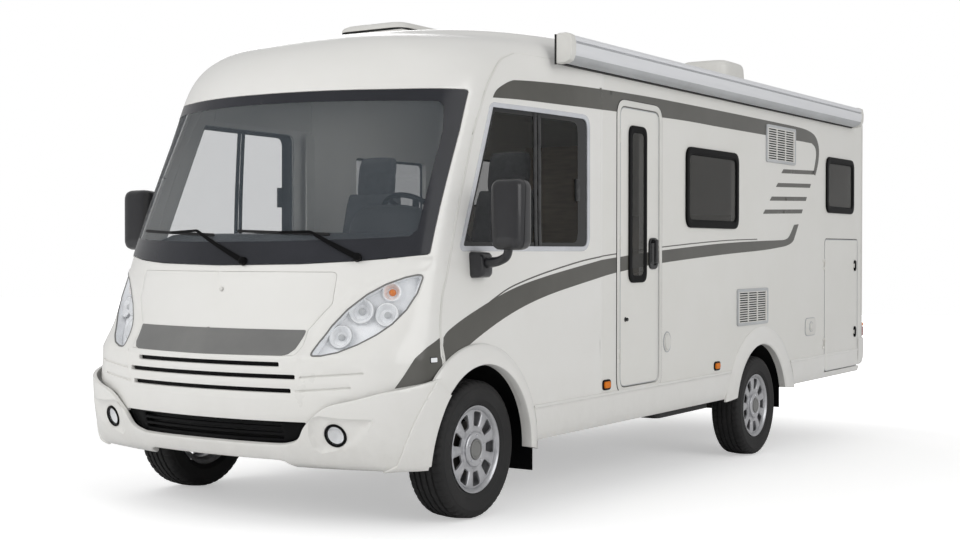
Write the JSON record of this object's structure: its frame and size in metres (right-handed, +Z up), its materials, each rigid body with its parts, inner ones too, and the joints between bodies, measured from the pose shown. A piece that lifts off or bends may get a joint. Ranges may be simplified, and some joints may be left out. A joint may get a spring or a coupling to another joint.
{
  "type": "motorhome",
  "caption": "Coach-built motorhome with an integrated cab, steered front wheels, entry door, rear garage doors, service flap in the nose and opening roof hatches.",
  "frame": {"origin": "on the ground, under the middle of the bounding box", "axes": "+X to the vehicle's left, +Y to its rear, +Z up; it stands on its wheels, nose slightly down"},
  "size_m": [2.788, 7.08, 2.9687],
  "materials": {
    "shell_white": "gloss",
    "wall_white": "gloss",
    "trim_grey": "satin",
    "glass_clear": "clear",
    "glass_tinted": "tinted",
    "lamp_clear": "clear",
    "lamp_red": "gloss",
    "lamp_amber": "gloss",
    "trim_black": "satin",
    "trim_white": "satin",
    "awning_alloy": "satin",
    "tank_grey": "matte",
    "floor_board": "matte",
    "chassis_paint": "satin",
    "cast_metal": "rough",
    "dash_grey": "matte",
    "seat_fabric": "matte",
    "furniture_wood": "satin",
    "tyre": "matte",
    "rim_alloy": "satin"
  },
  "bodies": {
    "body": {"front_mask": "shell_white", "grille_panel": "shell_white", "front_bumper": "shell_white", "cab_sides": "shell_white", "side_walls": "wall_white", "roof_panel": "shell_white", "rear_wall": "wall_white", "skirts": "shell_white", "rear_bumper": "shell_white", "roof_hatch_frames": "trim_grey", "windscreen": "glass_clear", "cab_windows": "glass_clear", "side_windows": "glass_tinted", "headlamps": "lamp_clear", "fog_lamps": "lamp_clear", "rear_lamps": "lamp_red", "side_markers": "lamp_amber", "window_frames": "trim_black", "lower_grille": "trim_black", "wipers": "trim_black", "mirrors": "trim_black", "wall_fittings": "trim_white", "awning_cassette": "awning_alloy", "wheel_houses": "trim_black", "water_tanks": "tank_grey", "floor_panel": "floor_board", "chassis_frame": "chassis_paint", "engine_block": "cast_metal", "front_subframe": "cast_metal", "rear_axle": "cast_metal", "dashboard": "dash_grey", "steering_wheel": "trim_black", "cab_seats": "seat_fabric", "furniture": "furniture_wood"},
    "knuckle_left": {"knuckle_left": "cast_metal"},
    "knuckle_right": {"knuckle_right": "cast_metal"},
    "wheel_front_left": {"tyre_front_left": "tyre", "rim_front_left": "rim_alloy"},
    "wheel_front_right": {"tyre_front_right": "tyre", "rim_front_right": "rim_alloy"},
    "wheel_rear_left": {"tyre_rear_left": "tyre", "rim_rear_left": "rim_alloy"},
    "wheel_rear_right": {"tyre_rear_right": "tyre", "rim_rear_right": "rim_alloy"},
    "entry_door": {"entry_door": "wall_white", "entry_door_window": "glass_tinted", "entry_handle": "trim_black"},
    "garage_door_left": {"garage_door_left": "wall_white"},
    "garage_door_right": {"garage_door_right": "wall_white"},
    "bonnet": {"bonnet": "shell_white"},
    "front_hatch_lid": {"front_hatch_lid": "trim_grey"},
    "rear_hatch_lid": {"rear_hatch_lid": "trim_grey"}
  },
  "joints": [
    {"name": "steer_left", "type": "hinge", "parent": "body", "child": "knuckle_left", "pos_m": [0.8, -2.56612, 0.362], "axis": [0, 0, 1], "range_deg": [-35, 35]},
    {"name": "steer_right", "type": "hinge", "parent": "body", "child": "knuckle_right", "pos_m": [-0.8, -2.56612, 0.362], "axis": [0, 0, 1], "range_deg": [-35, 35]},
    {"name": "spin_front_left", "type": "hinge", "parent": "knuckle_left", "child": "wheel_front_left", "pos_m": [0.945, -2.56612, 0.362], "axis": [1, 0, 0], "continuous": true},
    {"name": "spin_front_right", "type": "hinge", "parent": "knuckle_right", "child": "wheel_front_right", "pos_m": [-0.945, -2.56612, 0.362], "axis": [1, 0, 0], "continuous": true},
    {"name": "spin_rear_left", "type": "hinge", "parent": "body", "child": "wheel_rear_left", "pos_m": [0.983, 1.13388, 0.362], "axis": [1, 0, 0], "continuous": true},
    {"name": "spin_rear_right", "type": "hinge", "parent": "body", "child": "wheel_rear_right", "pos_m": [-0.983, 1.13388, 0.362], "axis": [1, 0, 0], "continuous": true},
    {"name": "entry_door_hinge", "type": "hinge", "parent": "body", "child": "entry_door", "pos_m": [1.118, -1.1269, 1.48076], "axis": [0, 0.0279, -0.9996], "range_deg": [0, 100]},
    {"name": "garage_door_left_hinge", "type": "hinge", "parent": "body", "child": "garage_door_left", "pos_m": [1.118, 2.48509, 1.10147], "axis": [0, 0.0279, -0.9996], "range_deg": [0, 100]},
    {"name": "garage_door_right_hinge", "type": "hinge", "parent": "body", "child": "garage_door_right", "pos_m": [-1.118, 2.48509, 1.10147], "axis": [0, -0.0279, 0.9996], "range_deg": [0, 100]},
    {"name": "bonnet_hinge", "type": "hinge", "parent": "body", "child": "bonnet", "pos_m": [0, -3.4078, 1.26599], "axis": [-1, 0, 0], "range_deg": [0, 55]},
    {"name": "front_hatch_hinge", "type": "hinge", "parent": "body", "child": "front_hatch_lid", "pos_m": [0, -1.69124, 2.70248], "axis": [-1, 0, 0], "range_deg": [0, 50]},
    {"name": "rear_hatch_hinge", "type": "hinge", "parent": "body", "child": "rear_hatch_lid", "pos_m": [0.55, 1.67639, 2.83456], "axis": [-1, 0, 0], "range_deg": [0, 50]}
  ],
  "couplings": [
    {"joint": "steer_right", "follows": "steer_left", "ratio": 1}
  ]
}
